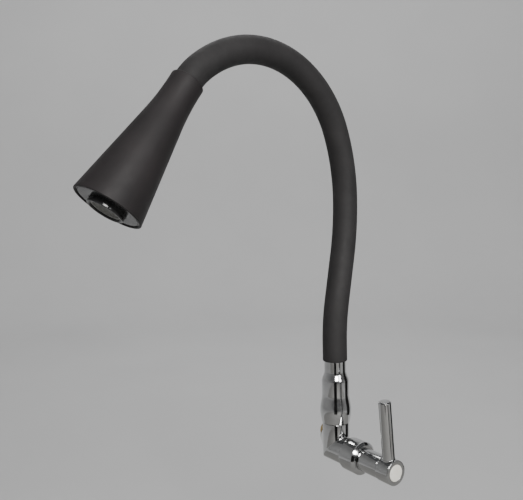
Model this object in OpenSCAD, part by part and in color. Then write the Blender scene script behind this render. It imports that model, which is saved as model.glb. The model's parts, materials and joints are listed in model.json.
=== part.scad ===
// Wall-mounted single-lever kitchen tap with a bendable hose spout and a
// cone spray head. Millimetres, +Z up, -Y out of the wall. The origin is on
// the inlet axis at the face that seats against the wall fitting.

/* [Inlet] */
// Distance from the wall seat to the riser axis
wall_to_riser = 30; // [26:1:60]
// Outside diameter of the inlet thread (G1/2)
inlet_thread_d = 20.955; // [16.66:0.005:26.44]
// Length of the inlet thread
inlet_thread_l = 16; // [10:1:30]
// Bore through the inlet nipple
inlet_bore_d = 10; // [7:0.5:11]
// Thickness of the inlet sealing washer
inlet_washer_t = 2; // [1:0.5:4]

/* [Body] */
// Outside diameter of the elbow legs
leg_d = 24; // [22:0.5:32]
// Height of the riser socket above the elbow centre
socket_h = 24; // [20:1:50]
// Angle of the valve leg to the right of straight out
valve_turn = 35; // [0:1:60]
// Distance from the riser axis to the rear face of the chest ring
chest_start = 17; // [17:0.5:30]
// Length of the chest ring
chest_l = 20; // [19:0.5:35]
// Wall of the chest ring round the valve stub
chest_wall = 2.2; // [2.1:0.1:6]

/* [Valve] */
// Diameter of the headwork thread
headwork_d = 20.8; // [18:0.1:21]
// Diameter of the headwork spindle
spindle_d = 8; // [6:0.5:9]
// Diameter of the ceramic discs
disc_d = 15; // [12:0.5:16]
// Thickness of each ceramic disc
disc_t = 2.5; // [2:0.25:3]

/* [Lever] */
// Diameter of the lever hub
hub_d = 20; // [19:0.5:26]
// Length of the lever hub
hub_l = 36; // [34:1:60]
// How far the hub's front collar stands proud of the hub
collar_proud = 0.6; // [0.2:0.1:3]
// Length of the front collar behind the lever bar
collar_back = 1.3; // [0.5:0.1:5]
// Diameter of the lever bar
bar_d = 10.6; // [7:0.2:11.4]
// Height of the lever bar's top above the valve axis
bar_top = 60; // [40:1:110]
// Lean of the lever to the left of upright
lever_lean = 5; // [0:1:20]
// Width of the collar's rim round the front cap
cap_rim = 3.6; // [1:0.1:5]
// Depth that the front cap is let into the collar
cap_inset = 1.4; // [1:0.1:3]

/* [Spout foot] */
// How far the foot's straight sleeve stands proud of the riser
foot_proud = 0.2; // [0.1:0.1:3]
// How far the foot's bell stands proud of its straight sleeve
bell_proud = 1.8; // [0.5:0.1:5]
// Length of the foot from the socket to the hose
foot_l = 56; // [50:1:90]
// Wall of the foot's slim top end round the hose barb
foot_top_wall = 1.8; // [1:0.1:2.4]
// Diameter of the spout spigot
spigot_d = 15; // [12:0.5:16]

/* [Hose] */
// Outside diameter of the silicone sleeve
hose_d = 22; // [20:0.5:28]
// Wall of the silicone sleeve
sleeve_wall = 3; // [2:0.25:3.5]
// Wall of the bendable steel gooseneck
gooseneck_wall = 1.9; // [1:0.1:2.2]
// Wall of the rubber water tube
tube_wall = 1.6; // [1:0.1:2]
// Angle of the spout to the left of straight out
spout_turn = 44; // [0:1:90]
// Twist of the arch out of the rise's plane
arch_twist = -4; // [-20:1:20]
// Twist of the hose's end out of the arch's plane
end_twist = -3; // [-20:1:20]

/* [Head] */
// Length of the spray head
head_l = 110; // [90:1:140]
// Wall of the head's neck round the hose
neck_wall = 1.5; // [1.4:0.1:5]
// Half angle of the head's cone
cone_angle = 8.4; // [5:0.1:16]
// Wall of the head's shell
head_wall = 2; // [1.5:0.25:2.5]
// Diameter of the nozzle
nozzle_d = 28; // [22:0.5:32]
// How far the nozzle stands out of the face
nozzle_out = 3.4; // [1:0.2:8]

/* [Hidden] */
$fn = 64;

chrome = "silver";
brass = "goldenrod";
rubber = "#1c1c1c";
steel = "#9a9da0";
matt_black = "#302e2e";
far = 200;

// Clearances
run_gap = 0.05;
turn_gap = 0.4;
slip_gap = 0.1;
face_gap = 0.3;

// Body and chest
leg_r = leg_d / 2;
inlet_bore_r = inlet_bore_d / 2;
inlet_shoulder = inlet_washer_t;
headwork_r = headwork_d / 2;
stub_wall = 1.8;
stub_r = headwork_r + stub_wall;
chest_r = stub_r + chest_wall;
chest_end = chest_start + chest_l;
chest_front_t = 2.6;
stub_end = chest_end - 8;
seat_r = 3.8;

inlet_thread_r = inlet_thread_d / 2;
inlet_barrel_r = inlet_thread_r + 1;
nipple_wall = 1.8;
nipple_root_r = inlet_bore_r + nipple_wall;
nipple_in = inlet_shoulder + 9;
thread_chamfer = 1;
chest_bevel = 2;
seal_inset = 0.2;

// Headwork, measured along the valve axis from the riser
spindle_r = spindle_d / 2;
disc_r = disc_d / 2;
seal_t = 2;
chamber_at = chest_start - 5;
discs_at = chamber_at + seal_t;
moving_at = discs_at + disc_t + run_gap;
drive_at = moving_at + disc_t;
drive_t = 2.2;
nose_wall = 1.1;
nose_r = disc_r + nose_wall;
chamber_r = nose_r + 0.6;
thread_at = chest_start + 3;
flange_at = stub_end + 1;
flange_t = 3.4;
neck_end = chest_end + 1.2;
circlip_r = spindle_r + 1.2;
circlip_at = neck_end + face_gap;
circlip_t = 1;
spindle_groove_r = spindle_r - 0.7;
spindle_slot = 2.4;
window_w = 5;
outlet_r = 2.4;
outlet_tilt = 14.4;
outlet_lift = 2.2;
outlet_start = 2;
outlet_l = chest_start - outlet_start;

// Lever
hub_r = hub_d / 2;
hub_start = chest_end + turn_gap;
hub_end = hub_start + hub_l;
hub_hollow_l = 4.6;
spindle_end = hub_start + 14;
hub_wall = 2;
hub_hollow_r = hub_r - hub_wall;
neck_r = hub_hollow_r - 1.5;
collar_r = hub_r + collar_proud;
cap_r = collar_r - cap_rim;
cap_seat = hub_end - cap_inset;
cap_proud = 0.5;
cap_chamfer = 0.5;
collar_chamfer = 0.6;
bar_r = bar_d / 2;
bar_at = cap_seat - turn_gap - bar_r;
collar_start = bar_at - bar_r - collar_back;
bar_chamfer = 0.8;
screw_r = 2;
screw_head_r = 3.6;
screw_head_t = 3;
hex_r = 1.5;
screw_seat = spindle_end + 4.6;
screw_tip = spindle_end - 7.4;
screw_bore_r = screw_head_r + 0.8;
bar_foot = screw_bore_r + 1.6;

// Spout foot
foot_r = leg_r + foot_proud;
bell_r = foot_r + bell_proud;
foot_z = socket_h + turn_gap;
foot_end = foot_z + foot_l;
foot_top_l = 9.5;
foot_taper_l = 9;
bell_from = socket_h - 4;
bell_l = 30;
bell_steps = 16;
washer_t = 1.7;
washer_r = leg_r - 0.6;
spigot_r = spigot_d / 2;
spigot_bore_r = 4.2;
spigot_in = socket_h - 9;
spigot_z = socket_h - spigot_in + turn_gap;
spigot_flange_z = socket_h + washer_t + face_gap;
spigot_flange_l = 10;
spigot_flange_r = foot_r - 1.6;
o_ring_r = 0.85;
o_ring_heights = [spigot_z + 2.2, spigot_z + 5];
lock_r = 2;
lock_hex_r = 1;
lock_hex_l = 2;
lock_sunk = 0.4;
lock_z = socket_h - 3.5;
lock_groove_r = spigot_r - 1.4;

// Hose
hose_r = hose_d / 2;
sleeve_in = hose_r - sleeve_wall;
gooseneck_out = sleeve_in - slip_gap;
gooseneck_in = gooseneck_out - gooseneck_wall;
foot_top_r = gooseneck_out + foot_top_wall;
tube_out = gooseneck_in - slip_gap;
tube_in = tube_out - tube_wall;
ball_r = gooseneck_out - 2;
cup_back = 1.8;
ball_neck_r = 3.3;
ball_neck_l = 8.5;
ball_wall_l = 2;
ball_bore_r = 1.8;
cup_l = ball_r + 1.6;
cup_r = gooseneck_out - 0.3;
lap = 1;
join_l = 0.4;
join_proud = 0.08;
tube_start = cup_l + 0.8;
tube_stop = ball_neck_l + ball_wall_l + slip_gap;
sleeve_gap = 0.39 * hose_r;
barb_l = 20;
barb_bore_r = tube_in - 1.2;
barb_tip_l = 6;

// The hose path as [length, turn] steps, from the foot upwards. A positive
// turn bends towards the head, and a turn of 0 is a straight length.
steps_foot = [[16.5, 0], [38, -12.5], [24, 0]];
steps_rise = [[16, 0], [52, 13], [61.5, 23]];
steps_arch = [[17, 10.5], [107, 62.5]];
steps_end = [[54, 32], [14, 15.5]];
sleeve_tail = 6;
steps_tail = concat(steps_end, [[sleeve_tail, 0]]);

// Head, measured along its own axis from the neck's shoulder
mouth_r = hose_r + turn_gap;
neck_out_r = mouth_r + neck_wall;
neck_straight = 6;
flare_l = 30;
flare_r = flare_l / sin(cone_angle);
flare_steps = 10;
flare_end_r = neck_out_r + flare_r * (1 - cos(cone_angle));
cone_l = head_l - neck_straight - flare_l;
rim_r = flare_end_r + cone_l * tan(cone_angle);
shoulder_r = 1.8;
mouth_l = sleeve_tail + 3;
collar_bore_r = neck_out_r - head_wall - turn_gap;
insert_at = mouth_l + turn_gap;
insert_l = 20;
fitting_flange_t = 2.5;
fitting_flange_r = hose_r - 0.6;
tip_wall = 2.9;
tip_r = barb_bore_r + tip_wall;
tip_at = sleeve_tail + fitting_flange_t;
tip_l = 18;
socket_l = 13.5;
neck_o_ring_at = insert_at + 4;
clip_at = insert_at + socket_l + face_gap;
clip_t = 1;
clip_r = tip_r + 1.3;
clip_slot = 3;
clip_room_l = 5;
tip_groove_r = tip_r - 0.8;
pipe_r = tip_r + 1;
pipe_bore_r = tip_r - 1;
face_t = 2;
face_inset = 0.6;
face_r = rim_r - head_wall;
plate_at = head_l - face_inset - face_t;
nozzle_r = nozzle_d / 2;
nozzle_wall = 2.4;
nozzle_in_r = nozzle_r - nozzle_wall;
nozzle_chamfer = 0.5;
nozzle_in_l = 12;
nozzle_at = head_l - nozzle_in_l;
nozzle_back_t = 2;
nozzle_end = head_l + nozzle_out;
mesh_t = 2.5;
mesh_inset = 1.5;
mesh_bar = 0.7;
mesh_rim = 1.4;
mesh_sunk = 0.5;
mesh_pitch = 2.6;
aerator_washer_t = 1.5;
flow_t = 2.5;
flow_holes = 10;
flow_ring_r = pipe_bore_r - 1.4;
flow_hole_r = 0.8;

module on_riser() { translate([0, -wall_to_riser, 0]) children(); }
module on_elbow() { on_riser() rotate([0, 0, valve_turn]) children(); }
module on_valve() { on_elbow() rotate([90, 0, 0]) children(); }
module on_lever() { on_valve() rotate([0, 0, lever_lean]) children(); }
module on_hose() {
    on_riser() translate([0, 0, foot_end]) rotate([0, 0, 270 - spout_turn]) children();
}
module on_rise() { on_hose() after(steps_foot) children(); }
module on_arch() { on_rise() after(steps_rise) rotate([0, 0, arch_twist]) children(); }
module on_end() { on_arch() after(steps_arch) rotate([0, 0, end_twist]) children(); }
module on_head() { on_end() after(steps_end) children(); }

// Radius that a path step bends at, signed like its turn
function bend_radius(step) = step[0] * 180 / (step[1] * PI);

// Moves its children to the end of a list of path steps
module after(steps, i = 0) {
    if (i == len(steps)) {
        children();
    } else if (steps[i][1] == 0) {
        translate([0, 0, steps[i][0]]) after(steps, i + 1) children();
    } else {
        bend_r = bend_radius(steps[i]);
        turn = steps[i][1];
        translate([bend_r * (1 - cos(turn)), 0, bend_r * sin(turn)])
            rotate([0, turn, 0]) after(steps, i + 1) children();
    }
}

// A round bar along one path step
module step_bar(step, r) {
    turn = step[1];
    if (turn == 0) {
        cylinder(r = r, h = step[0]);
    } else {
        bend_r = abs(bend_radius(step));
        mirror([turn > 0 ? 0 : 1, 0, 0])
            translate([bend_r, 0, 0]) mirror([1, 0, 0]) rotate([90, 0, 0])
                rotate_extrude(angle = abs(turn)) translate([bend_r, 0]) circle(r = r);
    }
}

// A thin round plate that joins two bars where they meet
module join_plate(r) {
    translate([0, 0, -join_l / 2]) cylinder(r = r + join_proud, h = join_l);
}

// A round bar along a whole list of path steps
module path_bar(steps, r) {
    for (i = [0 : len(steps) - 1])
        after([for (k = [0 : 1 : i - 1]) steps[k]]) {
            step_bar(steps[i], r);
            if (i > 0) join_plate(r);
        }
}

module path_tube(steps, r_out, r_in) {
    difference() {
        path_bar(steps, r_out);
        path_bar(steps, r_in);
    }
}

function part_step(step, l) = [l, step[1] * l / step[0]];
function trim_first(steps, l) = [
    for (i = [0 : len(steps) - 1])
        i == 0 ? part_step(steps[0], steps[0][0] - l) : steps[i]
];
function trim_last(steps, l) = [
    for (i = [0 : len(steps) - 1])
        i == len(steps) - 1 ? part_step(steps[i], steps[i][0] - l) : steps[i]
];

// A tube along a path that stops short of the path's start and end
module cut_tube(steps, r_out, r_in, from_start, from_end) {
    lead_in = from_start > 0 ? [part_step(steps[0], from_start)] : [];
    after(lead_in)
        path_tube(trim_last(trim_first(steps, from_start), from_end), r_out, r_in);
}

module ring(r_out, r_in, h) {
    difference() {
        cylinder(r = r_out, h = h);
        translate([0, 0, -1]) cylinder(r = r_in, h = h + 2);
    }
}

// The opening between the ends of a snap ring
module clip_mouth(r_out, slot, t) {
    translate([0, -slot / 2, -1]) cube([r_out + 1, slot, t + 2]);
}

module o_ring(r_out) {
    rotate_extrude() translate([r_out - o_ring_r, 0]) circle(r = o_ring_r);
}

// The square groove that holds an O-ring in a shaft
module o_ring_groove(shaft_r) {
    translate([0, 0, -o_ring_r]) ring(shaft_r + 1, shaft_r - 2 * o_ring_r, 2 * o_ring_r);
}

// A round bar with a chamfer at its far end
module chamfered_bar(r, h, chamfer) {
    rotate_extrude()
        polygon([[0, 0], [r, 0], [r, h - chamfer], [r - chamfer, h], [0, h]]);
}

// ---- Fixed body ----

// One leg of the elbow along +z, kept on one side of the mitre plane
module mitred_leg(l, mitre) {
    intersection() {
        translate([0, 0, -2 * leg_r]) cylinder(r = leg_r, h = l + 2 * leg_r);
        rotate([mitre, 0, 0]) translate([-far / 2, -far / 2, 0]) cube(far);
    }
}

module valve_body() {
    color(chrome)
    difference() {
        union() {
            on_elbow() mitred_leg(socket_h, -45);
            on_valve() mitred_leg(chest_start, 45);
            on_valve() translate([0, 0, chest_start - 1])
                cylinder(r = stub_r, h = stub_end - chest_start + 1);
            // inlet barrel
            translate([0, -inlet_shoulder, 0]) rotate([90, 0, 0])
                cylinder(r = inlet_barrel_r, h = wall_to_riser - inlet_shoulder);
        }
        // riser bore, where the spigot turns
        on_riser() translate([0, 0, socket_h - spigot_in])
            cylinder(r = spigot_r + run_gap, h = spigot_in + 1);
        // passage from the chamber round the headwork to the riser bore
        on_elbow() translate([0, -outlet_start, socket_h - spigot_in + outlet_lift])
            rotate([90 + outlet_tilt, 0, 0]) cylinder(r = outlet_r, h = outlet_l);
        // inlet bore, seat bore, chamber and headwork thread
        on_riser() translate([0, -seat_r, 0]) rotate([-90, 0, 0])
            cylinder(r = inlet_bore_r, h = wall_to_riser + seat_r);
        on_valve() cylinder(r = seat_r, h = chest_start);
        on_valve() translate([0, 0, chamber_at])
            cylinder(r = chamber_r, h = thread_at - chamber_at + 1);
        on_valve() translate([0, 0, thread_at]) cylinder(r = headwork_r, h = chest_l);
        // nipple thread
        rotate([90, 0, 0]) cylinder(r = nipple_root_r, h = nipple_in);
        // retaining screw
        on_riser() translate([0, 0, lock_z]) rotate([-90, 0, 0]) cylinder(r = lock_r, h = leg_r + 1);
    }
}

module inlet_nipple() {
    color(brass)
    difference() {
        union() {
            rotate([-90, 0, 0]) chamfered_bar(inlet_thread_r, inlet_thread_l, thread_chamfer);
            rotate([90, 0, 0]) cylinder(r = nipple_root_r, h = nipple_in);
        }
        translate([0, -nipple_in - 1, 0]) rotate([-90, 0, 0])
            cylinder(r = inlet_bore_r, h = inlet_thread_l + nipple_in + 2);
    }
}

module inlet_washer() {
    color(rubber) rotate([90, 0, 0]) ring(inlet_barrel_r, nipple_root_r, inlet_shoulder);
}

module chest_ring() {
    color(chrome)
    on_valve() translate([0, 0, chest_start])
        difference() {
            rotate_extrude() polygon([
                [0, 0], [chest_r - chest_bevel, 0], [chest_r, chest_bevel],
                [chest_r, chest_l - chest_bevel], [chest_r - chest_bevel, chest_l], [0, chest_l]
            ]);
            translate([0, 0, -1]) cylinder(r = stub_r, h = chest_l - chest_front_t + 1);
            cylinder(r = neck_r + turn_gap, h = chest_l + 1);
        }
}

module headwork_body() {
    color(brass)
    on_valve() difference() {
        union() {
            translate([0, 0, chamber_at + 0.4]) cylinder(r = nose_r, h = thread_at - chamber_at);
            translate([0, 0, thread_at]) cylinder(r = headwork_r, h = flange_at - thread_at);
            translate([0, 0, flange_at]) cylinder(r = stub_r, h = flange_t, $fn = 6);
            translate([0, 0, flange_at]) cylinder(r = neck_r, h = neck_end - flange_at);
        }
        translate([0, 0, chamber_at])
            cylinder(r = disc_r + slip_gap, h = drive_at + drive_t + face_gap - chamber_at);
        cylinder(r = spindle_r + run_gap, h = neck_end + 1);
        translate([-far / 2, -window_w / 2, moving_at]) cube([far, window_w, disc_t]);
    }
}

module headwork_washer() {
    color(rubber) on_valve() translate([0, 0, stub_end])
        ring(stub_r - seal_inset, headwork_r, flange_at - stub_end);
}

module seat_seal() {
    color(rubber) on_valve() translate([0, 0, chamber_at]) ring(disc_r - seal_inset, seat_r, seal_t);
}

// A ceramic disc with two openings opposite each other
module ceramic_disc() {
    difference() {
        cylinder(r = disc_r, h = disc_t);
        for (side = [0, 180])
            rotate([0, 0, side]) translate([disc_r / 2, 0, -1]) cylinder(r = disc_r / 4, h = disc_t + 2);
    }
}

module fixed_disc() {
    color("white") on_valve() translate([0, 0, discs_at]) ceramic_disc();
}

// ---- Lever ----

module moving_disc() {
    color("lightgray") on_lever() translate([0, 0, moving_at]) ceramic_disc();
}

module spindle() {
    color(brass)
    on_lever() difference() {
        union() {
            translate([0, 0, drive_at]) cylinder(r = disc_r - face_gap, h = drive_t);
            translate([0, 0, drive_at]) cylinder(r = spindle_r, h = spindle_end - drive_at);
        }
        translate([0, 0, circlip_at]) ring(spindle_r + 1, spindle_groove_r, circlip_t);
        translate([0, 0, screw_tip]) cylinder(r = screw_r, h = spindle_end - screw_tip + 1);
    }
}

module spindle_circlip() {
    color(steel)
    on_lever() translate([0, 0, circlip_at])
        difference() {
            ring(circlip_r, spindle_groove_r, circlip_t);
            clip_mouth(circlip_r, spindle_slot, circlip_t);
        }
}

module lever_hub() {
    color(chrome)
    on_lever() difference() {
        union() {
            translate([0, 0, hub_start]) cylinder(r = hub_r, h = hub_l - 1);
            translate([0, 0, collar_start])
                chamfered_bar(collar_r, hub_end - collar_start, collar_chamfer);
        }
        translate([0, 0, hub_start - 1]) cylinder(r = hub_hollow_r, h = hub_hollow_l + 1);
        translate([0, 0, hub_start]) cylinder(r = spindle_r, h = spindle_end - hub_start);
        translate([0, 0, hub_start]) cylinder(r = screw_r, h = hub_l);
        translate([0, 0, screw_seat]) cylinder(r = screw_bore_r, h = hub_l);
        translate([0, 0, cap_seat]) cylinder(r = cap_r, h = hub_l);
        translate([0, bar_foot, bar_at]) rotate([-90, 0, 0]) cylinder(r = bar_r, h = collar_r);
    }
}

module lever_bar() {
    color(chrome)
    on_lever() translate([0, bar_foot, bar_at]) rotate([-90, 0, 0])
        chamfered_bar(bar_r, bar_top - bar_foot, bar_chamfer);
}

module handle_screw() {
    color(steel)
    on_lever() difference() {
        union() {
            translate([0, 0, screw_tip]) cylinder(r = screw_r, h = screw_seat - screw_tip);
            translate([0, 0, screw_seat]) cylinder(r = screw_head_r, h = screw_head_t);
        }
        translate([0, 0, screw_seat + screw_head_t / 2])
            cylinder(r = hex_r, h = screw_head_t, $fn = 6);
    }
}

module index_cap() {
    color("ivory")
    on_lever() translate([0, 0, cap_seat]) chamfered_bar(cap_r, cap_inset + cap_proud, cap_chamfer);
}

// ---- Spout foot ----

// Bulge of the bell above the foot's straight sleeve, at height z
function bell_at(z) =
    foot_r + (bell_r - foot_r) * (1 - cos(360 * min(1, (z - bell_from) / bell_l))) / 2;

module spout_foot() {
    bell_top = bell_from + bell_l;
    color(chrome)
    on_riser() difference() {
        rotate_extrude() polygon(concat(
            [[0, foot_z]],
            [for (i = [0 : bell_steps])
                let (z = foot_z + (bell_top - foot_z) * i / bell_steps) [bell_at(z), z]],
            [
                [foot_r, foot_end - foot_top_l - foot_taper_l],
                [foot_top_r, foot_end - foot_top_l], [foot_top_r, foot_end], [0, foot_end]
            ]
        ));
        translate([0, 0, foot_z - 1]) cylinder(r = washer_r + turn_gap, h = spigot_flange_z - foot_z + 1);
        cylinder(r = spigot_flange_r, h = foot_end - barb_l);
        cylinder(r = gooseneck_out, h = foot_end + 1);
    }
}

module spout_spigot() {
    color(brass)
    on_riser() difference() {
        union() {
            translate([0, 0, spigot_z]) cylinder(r = spigot_r, h = spigot_flange_z - spigot_z + 1);
            translate([0, 0, spigot_flange_z]) cylinder(r = spigot_flange_r, h = spigot_flange_l);
        }
        cylinder(r = spigot_bore_r, h = foot_end);
        for (z = o_ring_heights) translate([0, 0, z]) o_ring_groove(spigot_r);
        translate([0, 0, lock_z - lock_r - face_gap])
            ring(spigot_r + 1, lock_groove_r, 2 * (lock_r + face_gap));
    }
}

module spigot_o_rings() {
    color(rubber) on_riser() for (z = o_ring_heights) translate([0, 0, z]) o_ring(spigot_r);
}

module slip_washer() {
    color("ivory") on_riser() translate([0, 0, socket_h]) ring(washer_r, spigot_r + turn_gap, washer_t);
}

module retaining_screw() {
    tip = lock_groove_r + face_gap;
    lock_l = leg_r - lock_sunk - tip;
    color(steel)
    on_riser() translate([0, 0, lock_z]) rotate([-90, 0, 0]) translate([0, 0, tip])
        difference() {
            cylinder(r = lock_r, h = lock_l);
            translate([0, 0, lock_l - lock_hex_l])
                cylinder(r = lock_hex_r, h = lock_hex_l + 1, $fn = 6);
        }
}

module hose_barb() {
    color(brass)
    on_riser() difference() {
        union() {
            translate([0, 0, foot_end - barb_l]) cylinder(r = gooseneck_out, h = barb_l);
            translate([0, 0, foot_end]) cylinder(r = tube_in, h = barb_tip_l);
        }
        cylinder(r = barb_bore_r, h = foot_end + barb_tip_l + 1);
    }
}

// ---- Hose ----

module hose_sleeve(steps, from_start, from_end) {
    color(matt_black) cut_tube(steps, hose_r, sleeve_in, from_start, from_end);
}

// The hollow ball at the end of a gooseneck length, centred on the next hinge
module ball_end(steps) {
    difference() {
        union() {
            after(steps) sphere(r = ball_r);
            after(steps) translate([0, 0, -ball_neck_l - 1]) cylinder(r = ball_neck_r, h = ball_neck_l);
            after(trim_last(steps, ball_neck_l)) translate([0, 0, -ball_wall_l])
                cylinder(r = gooseneck_out - join_proud, h = ball_wall_l);
        }
        after(steps) translate([0, 0, -far / 2]) cylinder(r = ball_bore_r, h = far);
    }
}

// The cup that turns on the ball, at the start of a gooseneck length
module cup_start() {
    difference() {
        translate([0, 0, -cup_back]) cylinder(r = cup_r, h = cup_back + cup_l);
        sphere(r = ball_r + run_gap);
        cylinder(r = ball_bore_r, h = far);
    }
}

module gooseneck(steps, cup, ball) {
    color(steel) {
        cut_tube(steps, gooseneck_out, gooseneck_in,
            cup ? cup_l - lap : 0, ball ? ball_neck_l + ball_wall_l - lap : 0);
        if (cup) cup_start();
        if (ball) ball_end(steps);
    }
}

module water_tube(steps, from_start, from_end) {
    color(rubber) cut_tube(steps, tube_out, tube_in, from_start, from_end);
}

module sleeve_foot() { on_hose() hose_sleeve(steps_foot, 0, sleeve_gap); }
module sleeve_rise() { on_rise() hose_sleeve(steps_rise, sleeve_gap, sleeve_gap); }
module sleeve_arch() { on_arch() hose_sleeve(steps_arch, sleeve_gap, sleeve_gap); }
module sleeve_end() { on_end() hose_sleeve(steps_tail, sleeve_gap, 0); }

module gooseneck_foot() { on_hose() gooseneck(steps_foot, false, true); }
module gooseneck_rise() { on_rise() gooseneck(steps_rise, true, true); }
module gooseneck_arch() { on_arch() gooseneck(steps_arch, true, true); }
module gooseneck_end() { on_end() gooseneck(steps_tail, true, false); }

module water_tube_foot() { on_hose() water_tube(steps_foot, 0, tube_stop); }
module water_tube_rise() { on_rise() water_tube(steps_rise, tube_start, tube_stop); }
module water_tube_arch() { on_arch() water_tube(steps_arch, tube_start, tube_stop); }
module water_tube_end() { on_end() water_tube(steps_tail, tube_start, 0); }

module hose_end_fitting() {
    color(brass)
    on_head() difference() {
        union() {
            translate([0, 0, sleeve_tail - barb_tip_l]) cylinder(r = tube_in, h = barb_tip_l);
            translate([0, 0, sleeve_tail]) cylinder(r = fitting_flange_r, h = fitting_flange_t);
            translate([0, 0, tip_at]) cylinder(r = tip_r, h = tip_l);
        }
        translate([0, 0, -barb_l]) cylinder(r = barb_bore_r, h = far);
        translate([0, 0, neck_o_ring_at]) o_ring_groove(tip_r);
        translate([0, 0, clip_at]) ring(tip_r + 1, tip_groove_r, clip_t);
    }
}

module neck_o_ring() {
    color(rubber) on_head() translate([0, 0, neck_o_ring_at]) o_ring(tip_r);
}

module neck_clip() {
    color(steel)
    on_head() translate([0, 0, clip_at])
        difference() {
            ring(clip_r, tip_groove_r, clip_t);
            clip_mouth(clip_r, clip_slot, clip_t);
        }
}

// ---- Head ----

// Outline of the head's outside from the shoulder to the rim, drawn inwards
// by a wall's thickness where one is given
function head_outline(wall) = concat(
    [for (i = [0 : flare_steps])
        let (a = cone_angle * i / flare_steps)
        [neck_out_r + flare_r * (1 - cos(a)) - wall, neck_straight + flare_r * sin(a)]],
    [[rim_r - wall, head_l]]
);

module head_shell() {
    color(matt_black)
    on_head() difference() {
        rotate_extrude() polygon(concat(
            [[0, 0], [neck_out_r - shoulder_r, 0]],
            [for (a = [15 : 15 : 90])
                [neck_out_r - shoulder_r * (1 - sin(a)), shoulder_r * (1 - cos(a))]],
            head_outline(0),
            [[0, head_l]]
        ));
        translate([0, 0, -1]) cylinder(r = mouth_r, h = mouth_l + 1);
        translate([0, 0, mouth_l]) cylinder(r = collar_bore_r, h = insert_l + turn_gap);
        rotate_extrude() polygon(concat(
            [[0, insert_at + insert_l]],
            [[collar_bore_r, insert_at + insert_l]],
            [for (p = head_outline(head_wall)) if (p[1] > insert_at + insert_l + 0.5) p],
            [[0, head_l]]
        ));
        translate([0, 0, plate_at]) cylinder(r = face_r, h = head_l);
    }
}

module head_insert() {
    color("dimgray")
    on_head() difference() {
        union() {
            translate([0, 0, insert_at]) cylinder(r = collar_bore_r, h = insert_l);
            translate([0, 0, insert_at]) cylinder(r = pipe_r, h = nozzle_at + nozzle_back_t - insert_at);
        }
        translate([0, 0, insert_at - 1]) cylinder(r = tip_r + run_gap, h = tip_at + tip_l + 2 - insert_at);
        translate([0, 0, insert_at + socket_l]) cylinder(r = clip_r + turn_gap, h = clip_room_l);
        cylinder(r = pipe_bore_r, h = head_l);
    }
}

module face_plate() {
    color("#4a4a4c") on_head() translate([0, 0, plate_at]) ring(face_r, nozzle_r, face_t);
}

module nozzle_ring() {
    color("#181818")
    on_head() difference() {
        translate([0, 0, nozzle_at]) chamfered_bar(nozzle_r, nozzle_end - nozzle_at, nozzle_chamfer);
        cylinder(r = pipe_r, h = nozzle_end);
        translate([0, 0, nozzle_at + nozzle_back_t]) cylinder(r = nozzle_in_r, h = nozzle_end);
    }
}

module aerator_washer() {
    color(rubber)
    on_head() translate([0, 0, nozzle_at + nozzle_back_t]) ring(nozzle_in_r, pipe_bore_r, aerator_washer_t);
}

module flow_disc() {
    color("gainsboro")
    on_head() translate([0, 0, nozzle_at + nozzle_back_t + aerator_washer_t]) difference() {
        cylinder(r = nozzle_in_r, h = flow_t);
        for (i = [1 : flow_holes])
            rotate([0, 0, i * 360 / flow_holes]) translate([flow_ring_r, 0, -1])
                cylinder(r = flow_hole_r, h = flow_t + 2);
    }
}

module aerator_mesh() {
    bars = floor(nozzle_in_r / mesh_pitch);
    color("gray")
    on_head() translate([0, 0, nozzle_end - mesh_inset - mesh_t]) {
        ring(nozzle_in_r, nozzle_in_r - mesh_rim, mesh_t);
        intersection() {
            cylinder(r = nozzle_in_r - mesh_rim / 2, h = mesh_t);
            for (turn = [0, 90])
                rotate([0, 0, turn])
                    for (i = [-bars : bars])
                        translate([i * mesh_pitch - mesh_bar / 2, -nozzle_r, mesh_sunk])
                            cube([mesh_bar, 2 * nozzle_r, mesh_t - 2 * mesh_sunk]);
        }
    }
}

valve_body();
inlet_nipple();
inlet_washer();
chest_ring();
headwork_body();
headwork_washer();
fixed_disc();
seat_seal();
moving_disc();
spindle();
spindle_circlip();
lever_hub();
lever_bar();
handle_screw();
index_cap();
spout_foot();
spout_spigot();
spigot_o_rings();
slip_washer();
retaining_screw();
hose_barb();
sleeve_foot();
sleeve_rise();
sleeve_arch();
sleeve_end();
gooseneck_foot();
gooseneck_rise();
gooseneck_arch();
gooseneck_end();
water_tube_foot();
water_tube_rise();
water_tube_arch();
water_tube_end();
hose_end_fitting();
neck_o_ring();
neck_clip();
head_shell();
head_insert();
face_plate();
aerator_washer();
flow_disc();
nozzle_ring();
aerator_mesh();
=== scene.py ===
"""Wall-mounted kitchen tap: looks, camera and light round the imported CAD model.

Everything is in metres in the CAD row frame. Lengths below are written in
millimetres times MM where they describe a shape.
"""

import json
import math

import bmesh
import bpy
from mathutils import Matrix, Vector


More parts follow.
